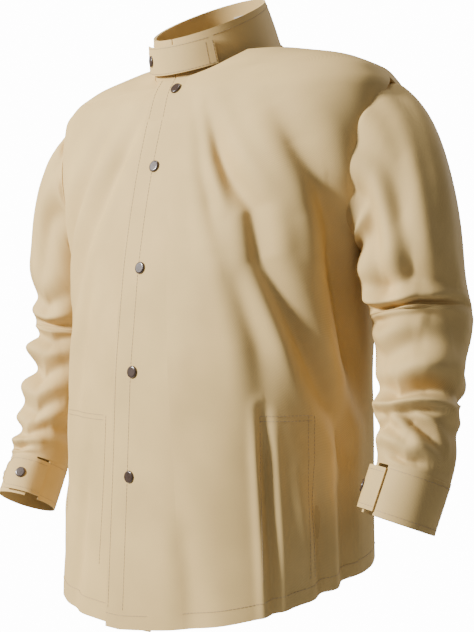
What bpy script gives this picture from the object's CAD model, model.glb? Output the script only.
"""Looks of a snap-front welding jacket: cloth panels, collar, sleeves, cuffs and snaps.

Metres, +Z up. The origin is the centre-back neck seam, +X is the wearer's left, the front faces -Y.
Cloth positions are worked out in millimetres and written to the meshes in metres.
"""

import math

import bpy
import numpy as np
from bpy.props import FloatProperty, FloatVectorProperty, PointerProperty
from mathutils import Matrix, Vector


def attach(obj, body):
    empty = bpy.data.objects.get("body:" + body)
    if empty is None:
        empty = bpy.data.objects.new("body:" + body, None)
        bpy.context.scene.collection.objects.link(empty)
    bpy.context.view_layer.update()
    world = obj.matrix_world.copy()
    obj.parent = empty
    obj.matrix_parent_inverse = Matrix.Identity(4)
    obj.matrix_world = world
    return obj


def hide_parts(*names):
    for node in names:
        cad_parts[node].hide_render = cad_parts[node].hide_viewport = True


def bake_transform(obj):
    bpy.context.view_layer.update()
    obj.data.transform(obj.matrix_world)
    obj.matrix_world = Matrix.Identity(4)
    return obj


bl_info = {
    "name": "Welding jacket",
    "version": (1, 0, 0),
    "blender": (4, 2, 0),
    "location": "View3D > Sidebar > Jacket",
    "description": "Builds the cloth, trim and looks of a snap-front welding jacket",
    "category": "Object",
}

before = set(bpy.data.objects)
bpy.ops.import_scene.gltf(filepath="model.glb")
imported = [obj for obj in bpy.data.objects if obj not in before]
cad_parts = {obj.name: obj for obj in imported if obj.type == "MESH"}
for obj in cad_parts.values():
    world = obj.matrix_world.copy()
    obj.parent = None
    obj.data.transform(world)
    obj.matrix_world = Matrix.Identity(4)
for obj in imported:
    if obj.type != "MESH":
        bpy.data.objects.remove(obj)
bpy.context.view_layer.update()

MM = 0.001
BODY_AXIS = -82.0
WAIST_HALF = 216.0
NECK_RADIUS = 82.0
NECK_SLOPE = 0.51
FRONT_LENGTH = 751.0
LEFT_FORWARD = 8.55
PLACKET_EDGE = -23.0
UNDERLAP_EDGE = 42.0
PLACKET_TOP = 82.5
FLAP_TOP = 136.0
SEAM_END, ARMPIT, SHOULDER = 95.0, 300.0, 102.0
SHOULDER_HALF = 270.0
ARMHOLE_TURN = 13  # degrees that the armhole cuts into the front and the back
FOLD_TOP_X, FOLD_BOTTOM_X, FOLD_TOP_DROP = 26.0, 92.0, 118.0
HEM_FRONT_Y, HEM_SLOPE_Y, HEM_SLOPE_LEFT, HEM_SLOPE_BACK, HEM_HALF = -258.0, 0.2, 0.125, 0.1, 220
TORSO_REACH = 215  # millimetres of cloth for each radian round the torso
SLEEVE_REACH = 58  # the same round a sleeve
TORSO_FOLD_GAIN, RIPPLE_GAIN, SLEEVE_FOLD_GAIN = 1.9, 1.2, 1.6

LEVELS = (
    (3, 0.67 * NECK_RADIUS, -0.73 * NECK_RADIUS, 0),
    (20, 0.93 * NECK_RADIUS, -1.10 * NECK_RADIUS, 2),
    (36, 1.17 * NECK_RADIUS, -1.28 * NECK_RADIUS, 4),
    (48, 0.56 * SHOULDER_HALF, -122, 7),
    (62, 0.79 * SHOULDER_HALF, -140, 10),
    (80, 0.93 * SHOULDER_HALF, -158, 13),
    (102, SHOULDER_HALF, -175, 17),
    (140, SHOULDER_HALF - 1, -189, 25),
    (193, SHOULDER_HALF - 8, -205, 36),
    (250, 240, -218, 42),
    (315, WAIST_HALF + 7, -230, 46),
    (441, WAIST_HALF, -244, 48),
    (570, WAIST_HALF + 1, -249, 48),
    (700, WAIST_HALF + 3, -256, 47),
    (820, WAIST_HALF + 6, -262, 46),
)

# Folds of the torso: points as (degrees round from the front centre, drop), half width, depth, ridge
FRONT_FOLDS = (
    (
        ((34, 130), (42, 190), (52, 252), (54, 312), (60, 360), (72, 450), (84, 540)),
        13,
        7.0,
        0.75,
    ),
    (((40, 150), (44, 240), (47, 320), (53, 410), (55, 490)), 15, 3.4, 0.6),
    (((54, 485), (55, 560), (56, 640), (57, 760)), 6, 3.6, 1.1),
    (((60, 130), (66, 190), (72, 240), (78, 290)), 14, 6.0, 0.7),
    (((74, 250), (79, 320), (86, 400), (92, 480)), 17, 9.0, 0.6),
    (((22, 105), (30, 160), (36, 230), (40, 300)), 12, 2.6, 0.7),
    (((70, 560), (73, 640), (75, 760)), 10, 4.0, 0.8),
    (((84, 470), (83, 580), (85, 760)), 13, 4.5, 0.7),
    (((12, 300), (16, 400), (20, 470)), 16, 1.6, 0.5),
    (((26, 600), (30, 680), (33, 770)), 18, 2.4, 0.6),
    (((-22, 120), (-34, 200), (-46, 300), (-52, 380)), 16, 3.4, 0.7),
    (((-48, 140), (-56, 220), (-66, 300), (-72, 380)), 15, 5.0, 0.7),
    (((-34, 320), (-38, 420), (-44, 520)), 17, 2.6, 0.6),
    (((-60, 380), (-58, 480), (-60, 600)), 15, 4.0, 0.7),
    (((-30, 560), (-32, 660), (-33, 770)), 15, 3.0, 0.6),
    (((-54, 600), (-55, 680), (-57, 770)), 14, 3.6, 0.7),
    (((-78, 320), (-80, 420), (-78, 520), (-80, 770)), 15, 5.0, 0.6),
)
BACK_FOLDS = (
    (((104, 250), (118, 330), (140, 430), (150, 520)), 17, 5.0, 0.7),
    (((256, 250), (244, 330), (222, 430), (214, 520)), 17, 5.0, 0.7),
    (((110, 130), (124, 200), (150, 250), (176, 262)), 18, 3.5, 0.6),
    (((250, 130), (236, 200), (210, 250), (184, 262)), 18, 3.5, 0.6),
    (((164, 380), (160, 520), (157, 770)), 20, 4.0, 0.7),
    (((198, 360), (203, 520), (205, 770)), 20, 4.5, 0.7),
    (((128, 500), (124, 620), (123, 770)), 17, 4.2, 0.7),
    (((234, 480), (237, 620), (238, 770)), 17, 4.2, 0.7),
    (((180, 90), (181, 180), (178, 300)), 24, 2.2, 0.5),
)

# Folds of the sleeves: points as (degrees round, share along), half width, depth, ridge.
# 0 degrees is the side that faces +Y, and 90 the outer or upper side.
LEFT_UPPER_FOLDS = (
    (((205, 0.02), (200, 0.30), (190, 0.66), (180, 1.0)), 12, 6.0, 0.8),
    (((170, 0.05), (165, 0.40), (150, 0.80)), 12, 4.5, 0.8),
    (((135, 0.05), (138, 0.35), (146, 0.62)), 12, 3.6, 0.8),
    (((100, 0.08), (112, 0.40), (128, 0.70)), 13, 3.0, 0.7),
    (((60, 0.10), (50, 0.45), (30, 0.80)), 13, 4.0, 0.7),
    (((225, 0.70), (190, 0.76), (150, 0.74), (110, 0.80)), 9, 5.5, 1.0),
    (((230, 0.88), (195, 0.92), (150, 0.88), (100, 0.95)), 9, 6.0, 1.0),
    (((250, 0.50), (220, 0.56), (190, 0.60)), 10, 5.0, 0.9),
)
LEFT_LOWER_FOLDS = (
    (((245, 0.03), (200, 0.07), (150, 0.05), (100, 0.10)), 9, 6.0, 1.0),
    (((250, 0.16), (205, 0.22), (160, 0.17), (110, 0.16)), 10, 6.5, 1.0),
    (((215, 0.36), (185, 0.46), (150, 0.40), (110, 0.37)), 10, 6.5, 1.0),
    (((240, 0.56), (200, 0.62), (160, 0.60), (115, 0.58)), 8, 5.0, 1.0),
    (((170, 0.64), (140, 0.72), (110, 0.80)), 7, 4.5, 1.1),
    (((235, 0.76), (200, 0.70), (165, 0.78)), 8, 4.0, 1.0),
    (((200, 0.86), (165, 0.93), (130, 0.90)), 8, 4.0, 1.0),
    (((20, 0.10), (50, 0.22), (80, 0.30)), 12, 4.0, 0.8),
    (((330, 0.30), (20, 0.42), (70, 0.50)), 12, 4.5, 0.8),
    (((300, 0.55), (350, 0.66), (40, 0.70)), 11, 4.0, 0.8),
)
RIGHT_UPPER_FOLDS = (
    (((205, 0.05), (195, 0.35), (180, 0.70)), 13, 5.0, 0.8),
    (((165, 0.05), (160, 0.35), (150, 0.70)), 13, 4.0, 0.8),
    (((125, 0.10), (130, 0.40), (140, 0.70)), 13, 3.4, 0.7),
    (((70, 0.10), (60, 0.45), (40, 0.80)), 13, 4.0, 0.7),
    (((220, 0.72), (185, 0.80), (150, 0.76), (110, 0.82)), 10, 5.0, 1.0),
    (((235, 0.92), (190, 0.96), (150, 0.92)), 9, 5.0, 1.0),
)
RIGHT_LOWER_FOLDS = (
    (((240, 0.06), (195, 0.12), (150, 0.08), (100, 0.12)), 10, 6.0, 1.0),
    (((225, 0.26), (190, 0.34), (150, 0.28), (110, 0.26)), 10, 5.5, 1.0),
    (((235, 0.46), (200, 0.55), (160, 0.52), (120, 0.48)), 9, 5.0, 1.0),
    (((225, 0.66), (190, 0.74), (150, 0.70), (110, 0.66)), 9, 4.5, 1.0),
    (((210, 0.82), (175, 0.90), (140, 0.86)), 8, 4.0, 1.0),
    (((330, 0.20), (20, 0.32), (70, 0.40)), 12, 4.5, 0.8),
    (((300, 0.50), (350, 0.62), (40, 0.66)), 11, 4.0, 0.8),
)


# ---------------------------------------------------------------- torso shape
def level_once(drop):
    for above, below in zip(LEVELS, LEVELS[1:]):
        if drop <= below[0]:
            break
    share = (drop - above[0]) / (below[0] - above[0])
    return np.array([high + share * (low - high) for high, low in zip(above[1:], below[1:])])


def level_at(drop):
    """Half width, front and back at a drop, with the corners between levels rounded."""
    reach = 4.0 if drop < 90 else min(20.0, 4.0 + 0.16 * (drop - 90))
    return sum(level_once(drop + reach * k) for k in (-1, -0.5, 0, 0.5, 1)) / 5


def power_at(angle):
    """How square the outline is: one value for each front and one for the back."""
    if math.cos(angle) < 0:
        return 2.5
    return 2.7 if angle > 0 else 2.15


def torso_point(angle, drop, forward=0.0):
    half, front, back = level_at(drop)
    depth = BODY_AXIS - front + forward if math.cos(angle) >= 0 else back - BODY_AXIS
    power = power_at(angle)
    across, along = abs(math.sin(angle) / half), abs(math.cos(angle) / depth)
    radius = (across**power + along**power) ** (-1 / power)
    slope = 0.5 - 0.5 * math.tanh((drop - 130) / 40)
    lift = slope * 0.7 * forward * max(0.0, math.cos(angle))
    return np.array((radius * math.sin(angle), BODY_AXIS - radius * math.cos(angle), lift - drop))


def angle_at(x, drop, front=True):
    half, front_y, back_y = level_at(drop)
    depth = BODY_AXIS - front_y if front else back_y - BODY_AXIS
    power = 2.5 if not front else (2.7 if x > 0 else 2.15)
    away = depth * max(0.0, 1 - (min(abs(x), half) / half) ** power) ** (1 / power)
    return math.atan2(x, away if front else -away)


def neck_turn_at(drop):
    return math.acos(max(-1.0, min(1.0, drop / (NECK_SLOPE * NECK_RADIUS) - 1)))


def armhole_angle(drop):
    if not SEAM_END < drop < ARMPIT:
        return 0.0
    return math.radians(ARMHOLE_TURN) * math.sin(math.pi * (drop - SEAM_END) / (ARMPIT - SEAM_END))


def fold_x(drop):
    """Where the line lies on which the front flap folds open."""
    slope = (FOLD_BOTTOM_X - FOLD_TOP_X) / (FRONT_LENGTH - FOLD_TOP_DROP)
    return FOLD_TOP_X + slope * (drop - FOLD_TOP_DROP)


def hem_z(point, kind):
    """Height of the hem below one point of the cloth."""
    if kind == "back":
        side = -FRONT_LENGTH + HEM_SLOPE_Y * (BODY_AXIS - HEM_FRONT_Y) + 0.5 * HEM_SLOPE_LEFT * HEM_HALF
        return side + 0.5 * HEM_SLOPE_LEFT * point[0] + HEM_SLOPE_BACK * (point[1] - BODY_AXIS)
    tilt = HEM_SLOPE_LEFT * point[0] if kind == "left" and point[0] > 0 else 0.0
    return -FRONT_LENGTH + HEM_SLOPE_Y * (point[1] - HEM_FRONT_Y) + tilt


def fold_depth(across, down, folds):
    """How far the cloth goes in at a point, from every fold line near it; both in millimetres."""
    total = 0.0
    for line, width, depth, ridge in folds:
        best, side, fade = 1e9, 1.0, 1.0
        for index, (first, second) in enumerate(zip(line, line[1:])):
            ax, ay = first
            bx, by = second
            dx, dy = bx - ax, by - ay
            share = ((across - ax) * dx + (down - ay) * dy) / (dx * dx + dy * dy)
            inside = min(1.0, max(0.0, share))
            px, py = across - ax - dx * inside, down - ay - dy * inside
            away = math.hypot(px, py)
            if away < best:
                best, side = away, dx * py - dy * px
                place = (index + inside) / (len(line) - 1)
                fade = min(1.0, 0.25 + 3.0 * place, 0.25 + 3.0 * (1 - place))
        if best > 6 * width:
            continue
        t = best / width
        share = 1.0 if side > 0 and t > 0 else 0.55
        valley = math.exp(-t * t)
        raised = ridge * 0.55 * math.exp(-((t - 2.1) ** 2)) * share
        total += fade * depth * (valley - raised)
    return total


def ripple(across, down, seed):
    """Soft unevenness of heavy cloth that has been worn."""
    a = math.sin(across / 47.0 + seed) * math.sin(down / 61.0 + 1.7 * seed)
    b = math.sin(across / 21.0 + down / 38.0 + 2.3 * seed)
    c = math.sin(across / 13.0 - down / 29.0 + 0.7 * seed) * math.sin(down / 53.0 + seed)
    return 1.3 * a + 0.55 * b + 0.4 * c


def soften(x, low, high):
    t = min(1.0, max(0.0, (x - low) / (high - low)))
    return t * t * (3 - 2 * t)


TORSO_FOLDS = [
    ([(math.radians(turn) * TORSO_REACH, drop) for turn, drop in line], width, depth, ridge)
    for line, width, depth, ridge in FRONT_FOLDS + BACK_FOLDS
]


def torso_cloth(angle, drop, forward):
    """A point of the torso with its folds."""
    point = torso_point(angle, drop, forward)
    across = angle * TORSO_REACH
    still = soften(drop, 70, 130)
    if math.cos(angle) > 0:
        # the cloth lies nearly flat round the row of snaps
        still *= 0.12 + 0.88 * soften(abs(point[0] - 8), 30, 95)
    inward = TORSO_FOLD_GAIN * fold_depth(across, drop, TORSO_FOLDS)
    inward += RIPPLE_GAIN * ripple(across, drop, 1.0)
    amount = still * inward
    out = np.array((math.sin(angle), -math.cos(angle), 0.25 * (1 - soften(drop, 90, 180))))
    return point - out / np.linalg.norm(out) * amount


# ---------------------------------------------------------------- meshes
def grid_normals(grid, wrap=False):
    if wrap:
        du = np.roll(grid, -1, axis=1) - np.roll(grid, 1, axis=1)
    else:
        du = np.gradient(grid, axis=1)
    dv = np.gradient(grid, axis=0)
    n = np.cross(dv, du)
    return n / (np.linalg.norm(n, axis=2, keepdims=True) + 1e-9)


def shell(name, grid, thickness, outward, material, wrap=False):
    """A closed cloth shell from a grid of outer points (rows, columns, 3), in millimetres."""
    grid = np.asarray(grid, float)
    normals = grid_normals(grid, wrap)
    facing = outward(grid) if callable(outward) else grid - np.array(outward)
    flip = (normals * facing).sum() < 0
    if flip:
        normals = -normals
    inner = grid - normals * thickness
    rows, cols = grid.shape[:2]
    points = np.concatenate((grid.reshape(-1, 3), inner.reshape(-1, 3))) * MM
    offset = rows * cols
    faces, sharp = [], []
    span = cols if wrap else cols - 1
    for r in range(rows - 1):
        for c in range(span):
            a, b = r * cols + c, r * cols + (c + 1) % cols
            d, e = a + cols, b + cols
            quad = (a, b, e, d) if flip else (a, d, e, b)
            faces.append(quad)
            faces.append(tuple(offset + k for k in reversed(quad)))
    rim = []
    if not wrap:
        for r in range(rows - 1):
            rim.append((r * cols, (r + 1) * cols, 0))
            rim.append((r * cols + cols - 1, (r + 1) * cols + cols - 1, 1))
    for c in range(span):
        rim.append((c, (c + 1) % cols, 1))
        rim.append(((rows - 1) * cols + c, (rows - 1) * cols + (c + 1) % cols, 0))
    for a, b, turn in rim:
        # turn says which way round a quad is written; as the flags stand, every rim face
        # is wound against the faces beside it
        quad = (b, a, a + offset, b + offset) if turn else (a, b, b + offset, a + offset)
        faces.append(tuple(reversed(quad)) if flip else quad)
        sharp.append((a, b))
        sharp.append((a + offset, b + offset))
    mesh = bpy.data.meshes.new(name)
    mesh.from_pydata(points.tolist(), [], faces)
    mesh.update()
    # the flat cloth's own coordinates, in metres, from the lengths along the grid
    along_u = np.zeros((rows, cols))
    along_u[:, 1:] = np.cumsum(np.linalg.norm(np.diff(grid, axis=1), axis=2), axis=1)
    along_u -= along_u[:, cols // 2][:, None]
    along_v = np.zeros((rows, cols))
    along_v[1:] = np.cumsum(np.linalg.norm(np.diff(grid, axis=0), axis=2), axis=0)
    flat = np.stack((along_u, along_v), axis=2).reshape(-1, 2) * MM
    flat = np.concatenate((flat, flat))
    layer = mesh.uv_layers.new(name="Cloth")
    loops = np.zeros(len(mesh.loops), np.int32)
    mesh.loops.foreach_get("vertex_index", loops)
    layer.data.foreach_set("uv", flat[loops].astype(np.float32).ravel())
    mesh.polygons.foreach_set("use_smooth", [True] * len(mesh.polygons))
    wanted = {tuple(sorted(pair)) for pair in sharp}
    for edge in mesh.edges:
        if tuple(sorted(edge.vertices)) in wanted:
            edge.use_edge_sharp = True
    mesh.materials.append(material)
    piece = bpy.data.objects.new(name, mesh)
    bpy.context.scene.collection.objects.link(piece)
    width = along_u.max(axis=1) - along_u.min(axis=1)
    length = along_v[-1]
    e1 = grid[1:, :-1] - grid[:-1, :-1]
    e2 = grid[:-1, 1:] - grid[:-1, :-1]
    area = np.linalg.norm(np.cross(e1, e2), axis=2).sum()
    if wrap:
        width = width + np.linalg.norm(grid[:, 0] - grid[:, -1], axis=1)
        area = area * cols / (cols - 1)
    size = tuple(max(0.0101, round(float(span.max()) * MM, 3) + 0.001) for span in (width, length))
    piece["flat_size"] = size
    piece["flat_area"] = min(float(area) * MM * MM, size[0] * size[1])
    return piece, normals


def stitch_run(places, forward):
    """Stitches on the torso through points given as (degrees from the front centre, drop)."""
    points, normals = [], []
    for turn, drop in places:
        angle = math.radians(turn)
        here = torso_cloth(angle, drop, forward)
        aside = torso_cloth(angle + 0.004, drop, forward) - torso_cloth(angle - 0.004, drop, forward)
        down = torso_cloth(angle, drop + 1, forward) - torso_cloth(angle, drop - 1, forward)
        out = np.cross(down, aside)
        out /= np.linalg.norm(out)
        points.append(here)
        normals.append(out if out @ (here - np.array((0, BODY_AXIS, here[2]))) > 0 else -out)
    return stitch_line(points, normals)


def declare(piece):
    size = tuple(piece["flat_size"])
    area = max(float(piece["flat_area"]), 0.31 * size[0] * size[1])


def stitch_line(points, normals, pitch=4.6, width=0.8, height=0.45):
    """Boxes, one for each stitch, along a line on the cloth."""
    points, normals = np.asarray(points), np.asarray(normals)
    steps = np.linalg.norm(np.diff(points, axis=0), axis=1)
    run = np.concatenate(([0], np.cumsum(steps)))
    made = []
    for k in range(int(run[-1] / pitch)):
        ends = []
        for place in (k * pitch + 0.6, k * pitch + 0.6 + 0.68 * pitch):
            p = np.array([np.interp(place, run, points[:, i]) for i in range(3)])
            n = np.array([np.interp(place, run, normals[:, i]) for i in range(3)])
            ends.append((p, n / np.linalg.norm(n)))
        (p, n), (q, m) = ends
        along = (q - p) / (np.linalg.norm(q - p) + 1e-9)
        side = np.cross(n, along)
        box = []
        for place, up in ((p, n), (q, m)):
            for s in (-1, 1):
                box.append(place + side * s * width / 2 - up * 0.3)
                box.append(place + side * s * width / 3 + up * height)
        made.append(box)
    return made


BOX_FACES = ((0, 1, 3, 2), (4, 6, 7, 5), (0, 4, 5, 1), (2, 3, 7, 6), (1, 5, 7, 3), (0, 2, 6, 4))


def stitch_piece(name, boxes, material, body):
    points, faces = [], []
    for box in boxes:
        o = len(points)
        points.extend((np.array(p) * MM).tolist() for p in box)
        for quad in BOX_FACES:
            faces.append(tuple(o + k for k in quad))
    mesh = bpy.data.meshes.new(name)
    mesh.from_pydata(points, [], faces)
    mesh.update()
    mesh.materials.append(material)
    piece = bpy.data.objects.new(name, mesh)
    bpy.context.scene.collection.objects.link(piece)
    bpy.context.view_layer.objects.active = piece
    bpy.ops.object.select_all(action="DESELECT")
    piece.select_set(True)
    bpy.ops.object.mode_set(mode="EDIT")
    bpy.ops.mesh.select_all(action="SELECT")
    bpy.ops.mesh.normals_make_consistent(inside=False)
    bpy.ops.object.mode_set(mode="OBJECT")
    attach(piece, body)
    return piece


# ---------------------------------------------------------------- materials
class Socket:
    """A shader socket that sums and multiplies like a number."""

    def __init__(self, tree, link):
        self.tree, self.link = tree, link

    def _math(self, operation, first, second):
        return node(self.tree, "ShaderNodeMath", {"operation": operation}, {0: first, 1: second})["Value"]

    def __add__(self, other):
        return self._math("ADD", self, other)

    __radd__ = __add__

    def __sub__(self, other):
        return self._math("SUBTRACT", self, other)

    def __rsub__(self, other):
        return self._math("SUBTRACT", other, self)

    def __mul__(self, other):
        return self._math("MULTIPLY", self, other)

    __rmul__ = __mul__


class Made:
    def __init__(self, tree, made):
        self.tree, self.made = tree, made

    def __getitem__(self, key):
        return Socket(self.tree, self.made.outputs[key])


def node(tree, kind, settings=None, inputs=None):
    """A node with its settings, then the values or links of its sockets."""
    made = tree.nodes.new(kind)
    for key, value in (settings or {}).items():
        if key == "stops":
            for index, (place, colour) in enumerate(value):
                stop = made.color_ramp.elements[index]
                stop.position, stop.color = place, colour
        else:
            setattr(made, key, value)
    for key, value in (inputs or {}).items():
        if isinstance(value, Socket):
            tree.links.new(value.link, made.inputs[key])
        else:
            made.inputs[key].default_value = value
    return Made(tree, made)


def new_material(name):
    material = bpy.data.materials.new(name)
    material.use_nodes = True
    tree = material.node_tree
    return material, tree, tree.nodes["Principled BSDF"]


def twill(name, colour, shade_share, twill_pitch=1.4):
    """Diagonal cotton weave with slight uneven fading, on the cloth's own flat coordinates."""
    material, tree, shader = new_material(name)
    place = node(tree, "ShaderNodeUVMap", {"uv_map": "Cloth"})["UV"]
    big = node(tree, "ShaderNodeTexNoise", None, {"Vector": place, "Scale": 9.0, "Detail": 3.0})["Fac"]
    fine = node(tree, "ShaderNodeTexNoise", None, {"Vector": place, "Scale": 700.0, "Detail": 2.0})["Fac"]
    slant = (0, 0, math.radians(52))
    turned = node(tree, "ShaderNodeMapping", None, {"Vector": place, "Rotation": slant})["Vector"]
    lines = node(
        tree,
        "ShaderNodeTexWave",
        {"wave_type": "BANDS", "bands_direction": "X", "wave_profile": "SIN"},
        {"Vector": turned, "Scale": 314.0 / twill_pitch, "Distortion": 0.6, "Detail": 1.0},
    )["Fac"]
    worn = 0.62 * big + 0.22 * fine + 0.16 * lines
    dark = tuple(c * shade_share for c in colour[:3]) + (1,)
    light = tuple(min(1.0, c * 1.10) for c in colour[:3]) + (1,)
    stops = ((0.30, dark), (0.72, light))
    ramp = node(tree, "ShaderNodeValToRGB", {"stops": stops}, {"Fac": worn})["Color"]
    tree.links.new(ramp.link, shader.inputs["Base Color"])
    rough = 0.60 + 0.16 * fine
    tree.links.new(rough.link, shader.inputs["Roughness"])
    height = 0.7 * lines + 0.5 * fine
    weave = {"Strength": 0.22, "Distance": 0.0005, "Height": height}
    bump = node(tree, "ShaderNodeBump", None, weave)["Normal"]
    tree.links.new(bump.link, shader.inputs["Normal"])
    shader.inputs["Specular IOR Level"].default_value = 0.2
    return material


def plain(name, colour, roughness, metallic=0.0, coat=0.0):
    material, tree, shader = new_material(name)
    place = node(tree, "ShaderNodeTexCoord")["Object"]
    wear = node(tree, "ShaderNodeTexNoise", None, {"Vector": place, "Scale": 260.0, "Detail": 3.0})["Fac"]
    low = tuple(c * 0.82 for c in colour[:3]) + (1,)
    stops = ((0.35, low), (0.65, tuple(colour[:3]) + (1,)))
    ramp = node(tree, "ShaderNodeValToRGB", {"stops": stops}, {"Fac": wear})
    tree.links.new(ramp["Color"].link, shader.inputs["Base Color"])
    rough = (roughness - 0.05) + 0.1 * wear
    tree.links.new(rough.link, shader.inputs["Roughness"])
    shader.inputs["Metallic"].default_value = metallic
    shader.inputs["Coat Weight"].default_value = coat
    return material


# ---------------------------------------------------------------- add-on parts
class JacketCloth(bpy.types.PropertyGroup):
    colour: FloatVectorProperty(
        name="Cloth colour",
        description="Base colour of the twill",
        subtype="COLOR",
        size=3,
        default=(0.650, 0.450, 0.180),
    )
    shade: FloatProperty(
        name="Faded share", description="How dark the less faded cloth is", default=0.80, min=0.3, max=1.0
    )
    thickness: FloatProperty(
        name="Thickness",
        description="Thickness of the cloth",
        default=0.002,
        min=0.0005,
        max=0.006,
        unit="LENGTH",
    )


class JacketTrim(bpy.types.PropertyGroup):
    cap_colour: FloatVectorProperty(
        name="Cap colour",
        description="Enamel of the snap caps",
        subtype="COLOR",
        size=3,
        default=(0.052, 0.030, 0.020),
    )
    brass_colour: FloatVectorProperty(
        name="Stud colour",
        description="Brass of the studs",
        subtype="COLOR",
        size=3,
        default=(0.83, 0.60, 0.28),
    )
    thread_colour: FloatVectorProperty(
        name="Thread colour", description="Topstitching", subtype="COLOR", size=3, default=(0.47, 0.34, 0.19)
    )


MATERIALS = {}


def cloth_material():
    props = bpy.context.scene.jacket_cloth
    if "twill" not in MATERIALS:
        MATERIALS["twill"] = twill("Cotton twill", tuple(props.colour), props.shade)
        lining = tuple(c * 0.86 for c in props.colour)
        MATERIALS["lining"] = twill("Cotton lining", lining, props.shade)
        MATERIALS["thread"] = plain("Thread", tuple(bpy.context.scene.jacket_trim.thread_colour), 0.7)
    return MATERIALS["twill"]


def outward_from_axis(grid):
    centre = np.array((0, BODY_AXIS, 0)) * np.ones_like(grid)
    centre[..., 2] = grid[..., 2] - 20
    return grid - centre


def panel_grid(edges, top, kind, forward, rows, cols, top_power=1.35, hem=None):
    """Points of a torso panel: edges gives the two end angles at a drop."""
    lowest = []
    for c in range(cols):
        drop = FRONT_LENGTH - 30
        for _ in range(4):
            a, b = edges(drop)
            angle = a + (b - a) * c / (cols - 1)
            drop -= hem_z(torso_point(angle, drop, forward), kind) + drop
        lowest.append(drop)
    if hem is not None:
        lowest = [hem] * cols
    grid = []
    for r in range(rows):
        share = (r / (rows - 1)) ** top_power
        line = []
        for c in range(cols):
            drop = top + (lowest[c] - top) * share
            a, b = edges(drop)
            line.append(torso_cloth(a + (b - a) * c / (cols - 1), drop, forward))
        grid.append(line)
    return np.array(grid)


def neck_angle(drop, side):
    return angle_at(side * 0.86 * NECK_RADIUS * math.sin(neck_turn_at(drop)), drop)


def back_edges(drop):
    start = math.pi / 2 + armhole_angle(drop)
    if drop < NECK_SLOPE * NECK_RADIUS:
        start = angle_at(NECK_RADIUS * math.sin(neck_turn_at(drop)), drop, False)
    return start, 2 * math.pi - start


def right_edges(drop):
    end = -math.pi / 2 + armhole_angle(drop)
    if drop < PLACKET_TOP:
        return neck_angle(drop, -1), end
    return angle_at(UNDERLAP_EDGE, drop), end


def left_edges(drop):
    fold = angle_at(fold_x(max(drop, PLACKET_TOP)), drop)
    if drop < PLACKET_TOP:
        fold = max(fold, neck_angle(drop, 1))
    return fold, math.pi / 2 - armhole_angle(drop)


def flap_edges(drop):
    return angle_at(PLACKET_EDGE, drop), angle_at(fold_x(drop), drop)


class JACKET_OT_back(bpy.types.Operator):
    """Build the back of the jacket"""

    bl_idname = "jacket.back"
    bl_label = "Back"

    def execute(self, context):
        cloth = context.scene.jacket_cloth.thickness / MM
        grid = panel_grid(back_edges, 6, "back", 0.0, 150, 150)
        piece, normals = shell("cloth_back", grid, cloth, outward_from_axis, cloth_material())
        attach(piece, "torso")
        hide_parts("back_panel")
        low = stitch_line(grid[-4], normals[-4])
        stitches = stitch_piece("stitch_back", low, MATERIALS["thread"], "torso")
        declare(piece)
        return {"FINISHED"}


class JACKET_OT_right_front(bpy.types.Operator):
    """Build the wearer's right front with its facing and pocket"""

    bl_idname = "jacket.right_front"
    bl_label = "Right front"

    def execute(self, context):
        cloth = context.scene.jacket_cloth.thickness / MM
        grid = panel_grid(right_edges, 46, "right", 0.0, 170, 120)
        piece, normals = shell("cloth_right_front", grid, cloth, outward_from_axis, cloth_material())
        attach(piece, "torso")
        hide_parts("right_front_panel", "right_placket", "right_front_facing")
        boxes = stitch_line(grid[-5], normals[-5])
        for drop in (500, 506):
            boxes += stitch_run([(turn, drop) for turn in np.arange(-58.0, -16.0, 1.0)], 0.0)
        for turn in (-58.0, -16.0):
            boxes += stitch_run([(turn, drop) for drop in range(500, 690, 6)], 0.0)
        stitches = stitch_piece("stitch_right_front", boxes, MATERIALS["thread"], "torso")
        declare(piece)
        return {"FINISHED"}


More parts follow.
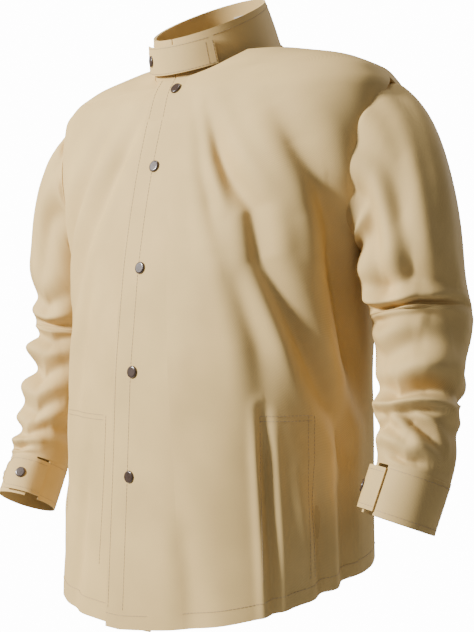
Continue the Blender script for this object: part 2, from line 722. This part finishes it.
class JACKET_OT_left_front(bpy.types.Operator):
    """Build the wearer's left front and the placket flap that folds open"""

    bl_idname = "jacket.left_front"
    bl_label = "Left front and flap"

    def execute(self, context):
        cloth = context.scene.jacket_cloth.thickness / MM
        material = cloth_material()
        grid = panel_grid(left_edges, 46, "left", LEFT_FORWARD, 190, 130, 1.2)
        piece, normals = shell("cloth_left_front", grid, cloth, outward_from_axis, material)
        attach(piece, "torso")
        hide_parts("left_front_panel")
        hem = stitch_line(grid[-5], normals[-5])
        across = 30
        top = panel_grid(flap_edges, PLACKET_TOP, "left", LEFT_FORWARD, 24, across, 1.0, FLAP_TOP)
        corner, corner_normals = shell("cloth_placket_top", top, cloth, outward_from_axis, material)
        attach(corner, "torso")
        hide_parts("placket_top")
        edge = stitch_line(top[:, 3], corner_normals[:, 3])
        column = next(c for c in range(across) if top[-1, c, 0] > 4.5)
        edge += stitch_line(top[:, column], corner_normals[:, column])
        for turn, high in ((53.0, 492), (68.0, 492), (70.0, 492)):
            edge += stitch_run([(turn, drop) for drop in range(high, 690, 6)], LEFT_FORWARD)
        for drop in (492, 498):
            edge += stitch_run([(turn, drop) for turn in np.arange(53.0, 70.1, 1.0)], LEFT_FORWARD)
        stitches = stitch_piece("stitch_left_front", hem + edge, MATERIALS["thread"], "torso")
        declare(piece)
        declare(corner)
        # the flap shares its fold line with the left front
        flap = panel_grid(flap_edges, FLAP_TOP, "left", LEFT_FORWARD, 150, 48, 1.0)
        leaf, leaf_normals = shell("cloth_flap", flap, cloth, outward_from_axis, material)
        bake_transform(leaf)
        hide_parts("front_flap", "front_flap_facing")
        lines = []
        for x in (PLACKET_EDGE + 2.6, 4.7):
            path, up = [], []
            for r in range(len(flap) - 5):
                row = flap[r]
                c = int(np.argmin(np.abs(row[:, 0] - x)))
                path.append(np.array([np.interp(x, row[:, 0], row[:, k]) for k in range(3)]))
                up.append(leaf_normals[r, c])
            lines += stitch_line(path, up)
        lines += stitch_line(flap[-5, :30], leaf_normals[-5, :30])
        thread = stitch_piece("stitch_flap", lines, MATERIALS["thread"], "front_flap")
        declare(leaf)
        return {"FINISHED"}


class JACKET_OT_pockets(bpy.types.Operator):
    """Build the two inside pockets"""

    bl_idname = "jacket.pockets"
    bl_label = "Inside pockets"

    def execute(self, context):
        cloth_material()
        for name, side, forward in (("left", 1, LEFT_FORWARD), ("right", -1, 0.0)):
            grid = []
            for r in range(30):
                drop = 501 + 168 * r / 29
                line = []
                for c in range(24):
                    x = side * (97 + 116 * c / 23)
                    point = torso_cloth(angle_at(x, drop), drop, forward)
                    inward = point - np.array((0, BODY_AXIS, point[2]))
                    line.append(point - inward / np.linalg.norm(inward) * 3.4)
                grid.append(line)
            lining = MATERIALS["lining"]
            piece, _ = shell(f"cloth_{name}_pocket", grid, 1.2, outward_from_axis, lining)
            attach(piece, "torso")
            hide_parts(f"{name}_inner_pocket")
            declare(piece)
        return {"FINISHED"}


# ---------------------------------------------------------------- collar
def neck_ring(turn):
    y = -NECK_RADIUS * (1 + math.cos(turn))
    return np.array((NECK_RADIUS * math.sin(turn), y, NECK_SLOPE * y))


def collar_ring(turn):
    y = -100.0 - 73.0 * math.cos(turn)
    return np.array((73.0 * math.sin(turn), y, 11.0 + 0.537 * (y + 100.0)))


def collar_point(turn, height, outside):
    point = neck_ring(turn) * (1 - height) + collar_ring(turn) * height
    bulge = 1.6 * math.sin(math.pi * min(1.0, max(0.0, height)))
    bulge += 0.7 * math.sin(5 * turn + 4 * height)
    return point + np.array((math.sin(turn), -math.cos(turn), 0)) * (outside + 0.35 * bulge)


def collar_grid(start, end, low, high, outside, rows, cols, skirt=0.0):
    """Part of the collar; a skirt runs further down inside the fronts."""
    grid = []
    for r in range(rows):
        line = []
        for c in range(cols):
            turn = math.radians(start + (end - start) * c / (cols - 1))
            foot = low - skirt * (0.3 + 0.7 * soften(math.cos(turn), -0.6, 0.2))
            line.append(collar_point(turn, foot + (high - foot) * r / (rows - 1), outside))
        grid.append(line)
    return np.array(grid)


def from_neck(grid):
    out = grid - np.array((0, -90.0, 0))
    out[..., 2] = 0
    return out


class JACKET_OT_collar(bpy.types.Operator):
    """Build the stand-up collar and its lining"""

    bl_idname = "jacket.collar"
    bl_label = "Collar"

    def execute(self, context):
        material = cloth_material()
        grid = collar_grid(0.6, 359.4, -0.02, 1.0, 0.0, 30, 220, 0.44)
        piece, normals = shell("cloth_collar", grid, 3.8, from_neck, material)
        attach(piece, "torso")
        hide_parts("collar_outer", "collar_lining")
        boxes = stitch_line(grid[-4], normals[-4])
        stitches = stitch_piece("stitch_collar", boxes, MATERIALS["thread"], "torso")
        declare(piece)
        return {"FINISHED"}


class JACKET_OT_throat_tab(bpy.types.Operator):
    """Build the tab that closes the collar"""

    bl_idname = "jacket.throat_tab"
    bl_label = "Throat tab"

    def execute(self, context):
        cloth = context.scene.jacket_cloth.thickness / MM
        grid = collar_grid(-44.0, 42.0, 0.20, 0.84, 6.8, 18, 60)
        piece, normals = shell("cloth_throat_tab", grid, cloth, from_neck, cloth_material())
        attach(piece, "throat_tab")
        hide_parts("throat_tab")
        boxes = []
        for row in (1, -2):
            boxes += stitch_line(grid[row, 2:-1], normals[row, 2:-1])
        for column in (2, -2, -6):
            boxes += stitch_line(grid[1:-1, column], normals[1:-1, column])
        stitches = stitch_piece("stitch_throat_tab", boxes, MATERIALS["thread"], "throat_tab")
        declare(piece)
        return {"FINISHED"}


class JACKET_OT_label_and_loop(bpy.types.Operator):
    """Build the blank neck label and the hang loop"""

    bl_idname = "jacket.label_and_loop"
    bl_label = "Label and hang loop"

    def execute(self, context):
        cloth_material()
        tape = twill("Label tape", (0.62, 0.58, 0.50), 0.92)
        turn = math.degrees(23.0 / NECK_RADIUS)
        grid = collar_grid(180 - turn, 180 + turn, 0.30, 0.66, -4.6, 8, 14)
        label, _ = shell("cloth_label", grid, 0.8, from_neck, tape)
        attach(label, "torso")
        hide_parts("neck_label")
        declare(label)
        path = []
        for step in range(33):
            x = -27.5 + 55.0 * step / 32
            path.append((x, -14.0 - 8.6 * soften(27.5 - abs(x), 0, 10)))
        grid = [[(x, y, z) for x, y in path] for z in np.linspace(-2, 6, 7)]
        loop, _ = shell("cloth_hang_loop", grid, 1.4, (0, -400, 0), MATERIALS["twill"])
        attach(loop, "torso")
        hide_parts("hang_loop")
        declare(loop)
        return {"FINISHED"}


# ---------------------------------------------------------------- sleeves
def unit(v):
    v = np.asarray(v, float)
    return v / np.linalg.norm(v)


def section(origin, direction, half_up, half_across):
    """A cross-section of a sleeve: its x runs with +Y and its y away from the body or up."""
    z = unit(direction)
    x = unit(np.array((0, 1, 0)) - z * z[1])
    return np.concatenate((origin, x, np.cross(z, x), (half_up, half_across)))


def station(side, gap, y, drop, radius):
    return np.array((side * (WAIST_HALF + gap + radius), y, -drop))


def armhole_frame(side):
    high = np.array((side * (SHOULDER_HALF - 6), 0, -SHOULDER))
    half = level_at(ARMPIT)[0]
    low = np.array((side * half, 0, -ARMPIT))
    down = unit(low - high)
    middle = (high + low) / 2
    return np.array((middle[0], BODY_AXIS + 4, middle[2])), np.array((-down[2], 0, down[0])) * side


def upper_sections(side, stations, elbow_direction):
    origin, out = armhole_frame(side)
    made = [section(origin - out * 9, out, 95, 62), section(origin + out * 9, out, 99, 64)]
    bend = origin + np.array((side * 32, 1, -39))
    made.append(section(bend, (side * 0.81, 0.05, -0.586), 0.81 * 99, 0.97 * 64))
    points = [station(side, *s) for s in stations]
    made.append(section(points[0], points[1] - points[0], stations[0][3], stations[0][3]))
    made.append(section(points[1], elbow_direction, stations[1][3], stations[1][3]))
    return made


def lower_sections(side, stations, elbow_direction, lean):
    points = [station(side, *s) for s in stations]
    made = []
    last = len(points) - 1
    for index, point in enumerate(points):
        direction = points[min(last, index + 1)] - points[max(0, index - 1)]
        if index == 0:
            direction = elbow_direction
        elif index == last:
            direction = lean
        made.append(section(point, direction, stations[index][3], stations[index][3]))
    return made


def between(sections, share):
    """Smooth cross-section part way along a list of them."""
    count = len(sections) - 1
    place = min(share, 0.999999) * count
    k = int(place)
    t = place - k
    p = [sections[min(count, max(0, k + d))] for d in (-1, 0, 1, 2)]
    return 0.5 * (
        2 * p[1]
        + (p[2] - p[0]) * t
        + (2 * p[0] - 5 * p[1] + 4 * p[2] - p[3]) * t * t
        + (3 * p[1] - p[0] - 3 * p[2] + p[3]) * t**3
    )


def sleeve_grid(sections, folds, rows, cols, side, still_start, still_end, seed):
    length = sum(np.linalg.norm(b[:3] - a[:3]) for a, b in zip(sections, sections[1:]))
    copies = []
    for line, width, depth, ridge in folds:
        placed = [(math.radians(turn) * SLEEVE_REACH, share * length) for turn, share in line]
        for shift in (-2 * math.pi * SLEEVE_REACH, 0, 2 * math.pi * SLEEVE_REACH):
            copies.append(([(x + shift, y) for x, y in placed], width, depth, ridge))
    grid = []
    for r in range(rows):
        share = r / (rows - 1)
        cut = between(sections, share)
        origin, x_dir, y_dir = cut[:3], unit(cut[3:6]), cut[6:9]
        half_up, half_across = cut[9:]
        y_dir = unit(y_dir - x_dir * (y_dir @ x_dir)) * side
        calm = soften(share, 0, still_start)
        calm *= 1 - soften(share, 1 - still_end, 1)
        line = []
        for c in range(cols):
            turn = 2 * math.pi * c / cols
            out = x_dir * math.cos(turn) + y_dir * math.sin(turn)
            point = origin + x_dir * half_across * math.cos(turn) + y_dir * half_up * math.sin(turn)
            inward = SLEEVE_FOLD_GAIN * fold_depth(turn * SLEEVE_REACH, share * length, copies)
            slow = 1.1 * math.sin(3 * turn + share * 7 + seed)
            quick = 0.7 * math.sin(5 * turn - share * 11 + seed)
            line.append(point - out * calm * (inward + (slow + quick)))
        grid.append(line)
    return np.array(grid)


def along_sleeve(grid):
    """From the middle line of each ring outwards."""
    return grid - grid.mean(axis=1, keepdims=True)


SLEEVES = {
    "left": (
        1,
        ((16, -77, 332, 60), (23, -67, 375, 59)),
        ((24, -67, 376, 59), (44, -88, 461, 50), (50, -104, 504, 47), (58, -117, 556, 43)),
        (-11, -20, -62),
        LEFT_UPPER_FOLDS,
        LEFT_LOWER_FOLDS,
    ),
    "right": (
        -1,
        ((18, -66, 336, 60), (34, -51, 397, 58)),
        ((34, -51, 398, 58), (48, -76, 480, 49), (54, -104, 552, 44), (54, -117, 593, 42)),
        (2, -27, -54),
        RIGHT_UPPER_FOLDS,
        RIGHT_LOWER_FOLDS,
    ),
}


class JACKET_OT_sleeves(bpy.types.Operator):
    """Build both sleeves, each in an upper and a lower part that meet at the elbow"""

    bl_idname = "jacket.sleeves"
    bl_label = "Sleeves"

    def execute(self, context):
        cloth = context.scene.jacket_cloth.thickness / MM
        material = cloth_material()
        for name, (side, stations, forearm, lean, upper_folds, lower_folds) in SLEEVES.items():
            elbow = unit(station(side, *forearm[1]) - station(side, *stations[0]))
            upper = upper_sections(side, stations, elbow)
            lower = lower_sections(side, forearm, elbow, lean)
            lower[0] = upper[-1].copy()
            grid = sleeve_grid(upper, upper_folds, 130, 150, side, 0.12, 0.05, 1.0)
            below = sleeve_grid(lower, lower_folds, 120, 150, side, 0.05, 0.10, 2.0)
            upper_name, lower_name = f"cloth_{name}_upper_sleeve", f"cloth_{name}_lower_sleeve"
            top, _ = shell(upper_name, grid, cloth, along_sleeve, material, True)
            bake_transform(top)
            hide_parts(f"{name}_upper_sleeve", f"{name}_underarm")
            declare(top)
            arm, _ = shell(lower_name, below, cloth, along_sleeve, material, True)
            first = upper[-1][:3]
            ends = self.span(first, first + elbow * 55)
            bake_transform(arm)
            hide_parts(f"{name}_lower_sleeve")
            declare(arm)
        return {"FINISHED"}

    @staticmethod
    def span(start, end):
        return tuple(np.asarray(start) * MM), tuple(np.asarray(end) * MM)


class JACKET_OT_cuffs(bpy.types.Operator):
    """Build the cuff bands and their snap flaps"""

    bl_idname = "jacket.cuffs"
    bl_label = "Cuffs"

    def execute(self, context):
        cloth = context.scene.jacket_cloth.thickness / MM
        material = cloth_material()
        for name, (side, _, forearm, lean, _, _) in SLEEVES.items():
            origin, radius, axis = station(side, *forearm[-1]), forearm[-1][3], unit(lean)
            x_dir = np.array((-side * 0.62, -0.785, 0))
            x_dir = unit(x_dir - axis * (x_dir @ axis))
            y_dir = np.cross(axis, x_dir)

            def at(angle, out, along):
                turn = math.radians(angle)
                ripples = 0.35 * math.sin(4 * turn + along / 20)
                radial = x_dir * math.cos(turn) + y_dir * math.sin(turn)
                return origin + radial * (out + ripples) + axis * along

            band = [[at(334 * c / 119, radius, -3 + 61 * r / 19) for c in range(120)] for r in range(20)]
            piece, normals = shell(f"cloth_{name}_cuff", band, cloth, along_sleeve, material)
            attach(piece, f"{name}_forearm")
            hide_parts(f"{name}_cuff_band")
            band = np.array(band)
            boxes = stitch_line(band[2], normals[2]) + stitch_line(band[17], normals[17])
            thread_finish = MATERIALS["thread"]
            thread = stitch_piece(f"stitch_{name}_cuff", boxes, thread_finish, f"{name}_forearm")
            declare(piece)
            flap = []
            for r in range(21):
                share = -1 + 2 * r / 20
                reach = 56 - 17 * max(0.0, abs(share) - 0.45) / 0.55
                line = []
                for c in range(40):
                    out = radius + 2.4 + 4.4 * soften(c / 39, 0, 0.4)
                    line.append(at(-26 + (26 + reach) * c / 39, out, 29 + 25 * share))
                flap.append(line)
            flap = np.array(flap)
            leaf, up = shell(f"cloth_{name}_cuff_flap", flap, cloth, tuple(origin), material)
            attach(leaf, f"{name}_cuff_flap")
            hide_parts(f"{name}_cuff_flap")
            boxes = []
            for row in (2, 18):
                boxes += stitch_line(flap[row, 1:-2], up[row, 1:-2])
            boxes += stitch_line(flap[2:-2, -3], up[2:-2, -3])
            body = f"{name}_cuff_flap"
            thread = stitch_piece(f"stitch_{name}_cuff_flap", boxes, thread_finish, body)
            declare(leaf)
        return {"FINISHED"}


class JACKET_OT_snaps(bpy.types.Operator):
    """Give the snap caps, studs and other metal their finish"""

    bl_idname = "jacket.snaps"
    bl_label = "Snaps"

    def execute(self, context):
        trim = context.scene.jacket_trim
        cap = plain("Cap enamel", tuple(trim.cap_colour), 0.28, 0.0, 0.5)
        brass = plain("Bright brass", tuple(trim.brass_colour), 0.24, 1.0)
        steel = plain("Plated snap metal", (0.45, 0.42, 0.36), 0.35, 1.0)
        for name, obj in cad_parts.items():
            if obj.hide_render:
                continue
            material = steel
            if "cap" in name:
                material = cap
            elif "cuff_studs" in name:
                material = brass
            obj.data.materials.clear()
            obj.data.materials.append(material)
        return {"FINISHED"}


class JACKET_OT_stage(bpy.types.Operator):
    """Add the camera, the lights and the white surroundings"""

    bl_idname = "jacket.stage"
    bl_label = "Camera and lights"

    def execute(self, context):
        bpy.ops.object.camera_add(location=(1.003, -1.277, -0.377))
        camera = context.object
        camera.name = "Camera"
        aim = Vector((0.019, -0.066, -0.377)) - camera.location
        camera.rotation_euler = aim.to_track_quat("-Z", "Y").to_euler()
        camera.data.lens, camera.data.sensor_width = 67.3, 36.0
        camera.data.clip_end = 50
        context.scene.camera = camera
        for name, place, size, power in (
            ("Key", (-1.45, -2.5, 0.8), 0.55, 235.0),
            ("Fill", (2.6, -1.6, 0.3), 1.6, 2.5),
            ("Top", (-0.4, -0.7, 2.2), 1.2, 26.0),
            ("Back", (0.8, 2.4, 0.8), 1.6, 30.0),
        ):
            bpy.ops.object.light_add(type="AREA", location=place)
            lamp = context.object
            lamp.name = name
            lamp.data.size, lamp.data.energy = size, power
            towards = Vector((0, -0.09, -0.36)) - lamp.location
            lamp.rotation_euler = towards.to_track_quat("-Z", "Y").to_euler()
        bpy.ops.mesh.primitive_plane_add(size=1.5, location=(0, 0, -1.25))
        floor = context.object
        floor.name = "Floor"
        floor.data.materials.append(plain("Pale floor", (0.85, 0.85, 0.84), 0.8))
        world = bpy.data.worlds.new("White surroundings")
        context.scene.world = world
        world.use_nodes = True
        tree = world.node_tree
        tree.nodes.clear()
        seen = node(tree, "ShaderNodeLightPath")["Is Camera Ray"]
        strength = 0.22 + 14.0 * seen
        light = {"Color": (1, 1, 1, 1), "Strength": strength}
        back = node(tree, "ShaderNodeBackground", None, light)["Background"]
        node(tree, "ShaderNodeOutputWorld", None, {"Surface": back})
        return {"FINISHED"}


class JACKET_PT_panel(bpy.types.Panel):
    """Sidebar panel that lists the jacket's pieces"""

    bl_label = "Welding jacket"
    bl_idname = "JACKET_PT_panel"
    bl_space_type = "VIEW_3D"
    bl_region_type = "UI"
    bl_category = "Jacket"

    def draw(self, context):
        for group, names in (
            (context.scene.jacket_cloth, ("colour", "shade", "thickness")),
            (context.scene.jacket_trim, ("cap_colour", "brass_colour", "thread_colour")),
        ):
            for name in names:
                self.layout.prop(group, name)
        for operator in OPERATORS:
            self.layout.operator(operator.bl_idname)


OPERATORS = (
    JACKET_OT_back,
    JACKET_OT_right_front,
    JACKET_OT_left_front,
    JACKET_OT_pockets,
    JACKET_OT_collar,
    JACKET_OT_throat_tab,
    JACKET_OT_label_and_loop,
    JACKET_OT_sleeves,
    JACKET_OT_cuffs,
    JACKET_OT_snaps,
    JACKET_OT_stage,
)
GROUPS = (JacketCloth, JacketTrim)


def register():
    for item in GROUPS + OPERATORS + (JACKET_PT_panel,):
        bpy.utils.register_class(item)
    bpy.types.Scene.jacket_cloth = PointerProperty(type=JacketCloth)
    bpy.types.Scene.jacket_trim = PointerProperty(type=JacketTrim)


def unregister():
    del bpy.types.Scene.jacket_trim
    del bpy.types.Scene.jacket_cloth
    for item in reversed(GROUPS + OPERATORS + (JACKET_PT_panel,)):
        bpy.utils.unregister_class(item)


def main():
    register()
    for operator in OPERATORS:
        group, name = operator.bl_idname.split(".")
        getattr(getattr(bpy.ops, group), name)()


if __name__ == "__main__":
    main()
